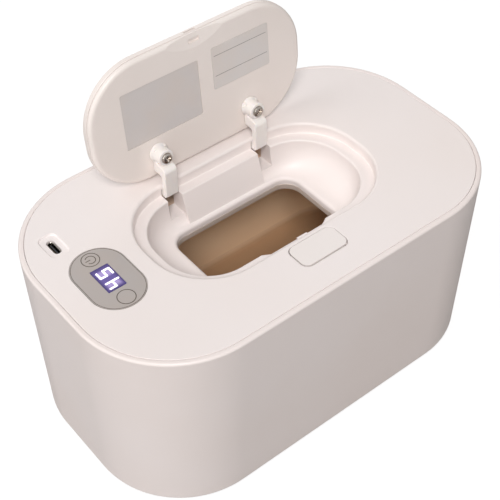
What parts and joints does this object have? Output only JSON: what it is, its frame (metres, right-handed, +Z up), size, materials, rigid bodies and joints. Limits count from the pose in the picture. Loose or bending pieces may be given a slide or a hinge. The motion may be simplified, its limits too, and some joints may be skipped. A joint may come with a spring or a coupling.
{
  "type": "baby wipe warmer",
  "caption": "Rounded countertop warmer box with a sprung oval lid over a wipe opening, a push-button latch, a small lit display and a lift-off cover.",
  "frame": {"origin": "on the ground under the middle of the body", "axes": "+X along the body away from the controls, +Y towards the lid hinge, +Z up"},
  "size_m": [0.22, 0.1324, 0.1684],
  "materials": {
    "shell_white": "satin, warm white",
    "lid_white": "satin, warm white",
    "arm_white": "slightly milky, smooth",
    "tank_brown": "fine satin",
    "inner_grey": "fine satin",
    "dark_plastic": "matt",
    "foot_rubber": "matt",
    "felt": "needle felt",
    "overlay_grey": "printed film, semi-gloss",
    "display_violet": "clear window with a violet backlight",
    "screw_steel": "bright plated",
    "spring_steel": "drawn wire",
    "heater_metal": "rolled sheet",
    "film_amber": "thin polyimide film",
    "board_green": "solder mask",
    "ceramic_white": "glazed",
    "lead_red": "soft insulation",
    "lead_black": "soft insulation",
    "label_silver": "satin sheet"
  },
  "bodies": {
    "base": {"outer_shell": "shell_white", "inner_tank": "tank_brown", "insulation_wrap": "felt", "bottom_plate": "shell_white", "base_screw_front_left": "screw_steel", "base_screw_front_right": "screw_steel", "base_screw_back_left": "screw_steel", "base_screw_back_right": "screw_steel", "foot_front_left": "foot_rubber", "foot_front_right": "foot_rubber", "foot_back_left": "foot_rubber", "foot_back_right": "foot_rubber"},
    "cover": {"top_panel": "shell_white", "cover_pan": "inner_grey", "heating_film": "film_amber", "heater_plate": "heater_metal", "thermal_fuse": "ceramic_white", "temperature_sensor": "dark_plastic", "cover_screw_front_left": "screw_steel", "cover_screw_front_right": "screw_steel", "cover_screw_back_left": "screw_steel", "cover_screw_back_right": "screw_steel", "heater_lead": "lead_red", "return_lead": "lead_black", "control_board": "board_green", "main_chip": "dark_plastic", "heater_driver": "dark_plastic", "filter_capacitor": "heater_metal", "board_screw_front": "screw_steel", "board_screw_back": "screw_steel", "control_overlay": "overlay_grey", "display_window": "display_violet", "display_module": "dark_plastic", "touch_spring_front": "spring_steel", "touch_spring_back": "spring_steel", "usb_socket": "screw_steel", "usb_tongue": "dark_plastic", "hinge_carrier": "shell_white", "hinge_pin": "spring_steel", "carrier_screw_left": "screw_steel", "carrier_screw_right": "screw_steel", "torsion_spring_left": "spring_steel", "torsion_spring_right": "spring_steel", "latch_housing": "inner_grey", "housing_screw_left": "screw_steel", "housing_screw_right": "screw_steel", "button_spring": "spring_steel"},
    "lid": {"lid_shell": "lid_white", "lid_liner": "lid_white", "blank_plate": "label_silver", "label_plate": "label_silver", "arm_screw_left": "screw_steel", "arm_screw_right": "screw_steel", "hinge_arm_left": "arm_white", "hinge_arm_right": "arm_white"},
    "button": {"release_button": "shell_white"},
    "latch": {"latch_slider": "inner_grey"}
  },
  "joints": [
    {"name": "cover_lift", "type": "slide", "parent": "base", "child": "cover", "axis": [0, 0, 1], "range_m": [0, 0.12]},
    {"name": "lid_hinge", "type": "hinge", "parent": "cover", "child": "lid", "pos_m": [0, 0.0384, 0.0982], "axis": [1, 0, 0], "range_deg": [0, 95.6], "stiffness_Nm_per_rad": 0.0072, "springref_deg": -63.6},
    {"name": "release_press", "type": "slide", "parent": "cover", "child": "button", "axis": [0, 0, -1], "range_m": [0, 0.0012], "stiffness_N_per_m": 400, "springref_m": -0.002, "deforming": ["button_spring"]},
    {"name": "latch_retract", "type": "slide", "parent": "cover", "child": "latch", "axis": [0, -1, 0], "range_m": [0, 0.0012]}
  ],
  "couplings": [
    {"joint": "latch_retract", "follows": "release_press", "ratio": 1}
  ]
}
